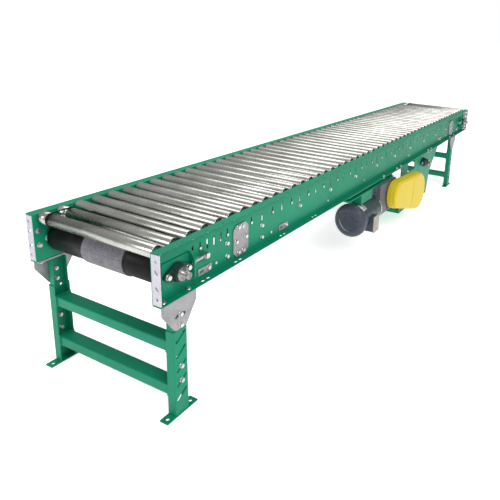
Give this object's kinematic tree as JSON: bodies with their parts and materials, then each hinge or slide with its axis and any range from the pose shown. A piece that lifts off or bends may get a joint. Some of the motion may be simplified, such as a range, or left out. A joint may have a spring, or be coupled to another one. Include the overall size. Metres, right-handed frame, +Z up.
{
  "type": "belt driven live roller conveyor section",
  "caption": "Straight live-roller conveyor section: steel rollers between channel rails, a belt below turning them, a centre motor drive and two adjustable floor supports.",
  "frame": {"origin": "on the floor, midway between the two supports, on the centre line of the bed", "axes": "+Z up, +X along the bed from the take-up end nearest the motor's fan to the other end, -Y towards the drive side"},
  "size_m": [3.9624, 0.7799, 0.6571],
  "materials": {
    "green_powder_coat": "satin",
    "galvanized_sheet": "satin",
    "bright_zinc": "satin",
    "fastener_zinc": "satin",
    "grey_belt": "matte",
    "black_lagging": "matte",
    "dark_cast_iron": "matte",
    "motor_grey": "satin",
    "reducer_grey": "satin",
    "conduit_box_grey": "satin",
    "safety_yellow": "satin",
    "oiled_steel": "satin"
  },
  "bodies": {
    "conveyor_frame": {"anchor_plates": "galvanized_sheet", "bed_cross_braces": "green_powder_coat", "belt_roller_axles": "fastener_zinc", "chain_guard_back": "safety_yellow", "chain_guard_cover": "safety_yellow", "conduit_box": "motor_grey", "conduit_box_cover": "conduit_box_grey", "conveyor_belt": "grey_belt", "drive_bottom_guard": "green_powder_coat", "drive_chain": "oiled_steel", "end_couplings": "galvanized_sheet", "far_left_lower_leg": "green_powder_coat", "far_lower_cross_member": "green_powder_coat", "far_right_lower_leg": "green_powder_coat", "far_upper_cross_member": "green_powder_coat", "fasteners": "fastener_zinc", "flange_bearings": "dark_cast_iron", "gear_reducer_housing": "reducer_grey", "left_drive_side_plate": "green_powder_coat", "left_side_channel": "green_powder_coat", "motor_base": "green_powder_coat", "motor_fan_cover": "motor_grey", "motor_housing": "motor_grey", "motor_register_ring": "bright_zinc", "near_left_lower_leg": "green_powder_coat", "near_lower_cross_member": "green_powder_coat", "near_right_lower_leg": "green_powder_coat", "near_upper_cross_member": "green_powder_coat", "pivot_brackets": "galvanized_sheet", "pressure_rollers": "bright_zinc", "return_idlers": "bright_zinc", "right_drive_side_plate": "green_powder_coat", "right_side_channel": "green_powder_coat", "slave_drive_bands": "black_lagging", "take_up_plates": "green_powder_coat", "take_up_screws": "fastener_zinc", "tread_roller_axles": "fastener_zinc", "tread_rollers_9_to_52": "bright_zinc", "upper_legs": "green_powder_coat", "web_cover_plates": "galvanized_sheet"},
    "near_pulley_body": {"near_end_pulley": "black_lagging"},
    "far_pulley_body": {"far_end_pulley": "black_lagging"},
    "drive_pulley_body": {"drive_pulley": "black_lagging", "driven_sprocket": "oiled_steel"},
    "take_up_pulley_body": {"take_up_pulley": "oiled_steel"},
    "snub_roller_body": {"snub_roller": "bright_zinc"},
    "reducer_output_body": {"output_shaft": "oiled_steel", "worm_wheel": "oiled_steel"},
    "motor_shaft_body": {"motor_rotor": "oiled_steel", "cooling_fan": "oiled_steel", "worm_shaft": "oiled_steel"},
    "roller_01_body": {"tread_roller_01": "bright_zinc"},
    "roller_02_body": {"tread_roller_02": "bright_zinc"},
    "roller_03_body": {"tread_roller_03": "bright_zinc"},
    "roller_04_body": {"tread_roller_04": "bright_zinc"},
    "roller_05_body": {"tread_roller_05": "bright_zinc"},
    "roller_06_body": {"tread_roller_06": "bright_zinc"},
    "roller_07_body": {"tread_roller_07": "bright_zinc"},
    "roller_08_body": {"tread_roller_08": "bright_zinc"}
  },
  "joints": [
    {"name": "near_pulley_spin", "type": "hinge", "parent": "conveyor_frame", "child": "near_pulley_body", "pos_m": [-1.7018, 0, 0.54067], "axis": [0, 1, 0], "continuous": true},
    {"name": "far_pulley_spin", "type": "hinge", "parent": "conveyor_frame", "child": "far_pulley_body", "pos_m": [2.0574, 0, 0.54067], "axis": [0, 1, 0], "continuous": true},
    {"name": "drive_pulley_spin", "type": "hinge", "parent": "conveyor_frame", "child": "drive_pulley_body", "pos_m": [0.5686, 0, 0.2577], "axis": [0, 1, 0], "continuous": true},
    {"name": "take_up_pulley_spin", "type": "hinge", "parent": "conveyor_frame", "child": "take_up_pulley_body", "pos_m": [0.9716, 0, 0.3717], "axis": [0, 1, 0], "continuous": true},
    {"name": "snub_roller_spin", "type": "hinge", "parent": "conveyor_frame", "child": "snub_roller_body", "pos_m": [0.2886, 0, 0.3997], "axis": [0, 1, 0], "continuous": true},
    {"name": "reducer_output_spin", "type": "hinge", "parent": "conveyor_frame", "child": "reducer_output_body", "pos_m": [0.1816, 0, 0.3297], "axis": [0, 1, 0], "continuous": true},
    {"name": "motor_shaft_spin", "type": "hinge", "parent": "conveyor_frame", "child": "motor_shaft_body", "pos_m": [-0.0184, -0.2948, 0.2857], "axis": [1, 0, 0], "continuous": true},
    {"name": "roller_01_spin", "type": "hinge", "parent": "conveyor_frame", "child": "roller_01_body", "pos_m": [-1.7653, 0, 0.6299], "axis": [0, 1, 0], "continuous": true},
    {"name": "roller_02_spin", "type": "hinge", "parent": "conveyor_frame", "child": "roller_02_body", "pos_m": [-1.6891, 0, 0.6299], "axis": [0, 1, 0], "continuous": true},
    {"name": "roller_03_spin", "type": "hinge", "parent": "conveyor_frame", "child": "roller_03_body", "pos_m": [-1.6129, 0, 0.6299], "axis": [0, 1, 0], "continuous": true},
    {"name": "roller_04_spin", "type": "hinge", "parent": "conveyor_frame", "child": "roller_04_body", "pos_m": [-1.5367, 0, 0.6299], "axis": [0, 1, 0], "continuous": true},
    {"name": "roller_05_spin", "type": "hinge", "parent": "conveyor_frame", "child": "roller_05_body", "pos_m": [-1.4605, 0, 0.6299], "axis": [0, 1, 0], "continuous": true},
    {"name": "roller_06_spin", "type": "hinge", "parent": "conveyor_frame", "child": "roller_06_body", "pos_m": [-1.3843, 0, 0.6299], "axis": [0, 1, 0], "continuous": true},
    {"name": "roller_07_spin", "type": "hinge", "parent": "conveyor_frame", "child": "roller_07_body", "pos_m": [-1.3081, 0, 0.6299], "axis": [0, 1, 0], "continuous": true},
    {"name": "roller_08_spin", "type": "hinge", "parent": "conveyor_frame", "child": "roller_08_body", "pos_m": [-1.2319, 0, 0.6299], "axis": [0, 1, 0], "continuous": true}
  ],
  "couplings": [
    {"joint": "near_pulley_spin", "follows": "drive_pulley_spin", "ratio": 1.6849},
    {"joint": "far_pulley_spin", "follows": "drive_pulley_spin", "ratio": 1.6849},
    {"joint": "take_up_pulley_spin", "follows": "drive_pulley_spin", "ratio": -2},
    {"joint": "snub_roller_spin", "follows": "drive_pulley_spin", "ratio": -3.3867},
    {"joint": "reducer_output_spin", "follows": "drive_pulley_spin", "ratio": 2},
    {"joint": "motor_shaft_spin", "follows": "drive_pulley_spin", "ratio": 30},
    {"joint": "roller_01_spin", "follows": "drive_pulley_spin", "ratio": -4.2105},
    {"joint": "roller_02_spin", "follows": "drive_pulley_spin", "ratio": -4.2105},
    {"joint": "roller_03_spin", "follows": "drive_pulley_spin", "ratio": -4.2105},
    {"joint": "roller_04_spin", "follows": "drive_pulley_spin", "ratio": -4.2105},
    {"joint": "roller_05_spin", "follows": "drive_pulley_spin", "ratio": -4.2105},
    {"joint": "roller_06_spin", "follows": "drive_pulley_spin", "ratio": -4.2105},
    {"joint": "roller_07_spin", "follows": "drive_pulley_spin", "ratio": -4.2105},
    {"joint": "roller_08_spin", "follows": "drive_pulley_spin", "ratio": -4.2105}
  ]
}
